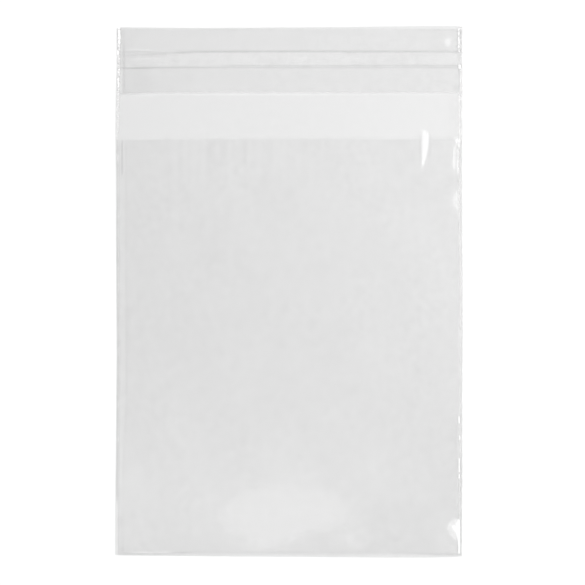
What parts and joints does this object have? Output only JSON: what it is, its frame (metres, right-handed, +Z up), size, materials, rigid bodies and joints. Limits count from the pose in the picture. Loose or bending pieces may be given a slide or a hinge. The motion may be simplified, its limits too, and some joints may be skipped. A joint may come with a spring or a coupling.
{
  "type": "clear biodegradable bag",
  "caption": "Flat clear film bag, folded at the bottom and welded at both sides, with an open lip that carries an adhesive strip under a release liner.",
  "frame": {"origin": "middle of the underside, where the bag lies on its back panel", "axes": "+X across the bag, +Y from the folded bottom to the lip, +Z up out of the front panel"},
  "size_m": [0.125, 0.191, 0.0016],
  "materials": {
    "film": "gloss",
    "adhesive": "satin",
    "liner": "gloss"
  },
  "bodies": {
    "root": {"bag_film": "film", "adhesive_strip": "adhesive", "release_liner": "liner"}
  },
  "joints": []
}
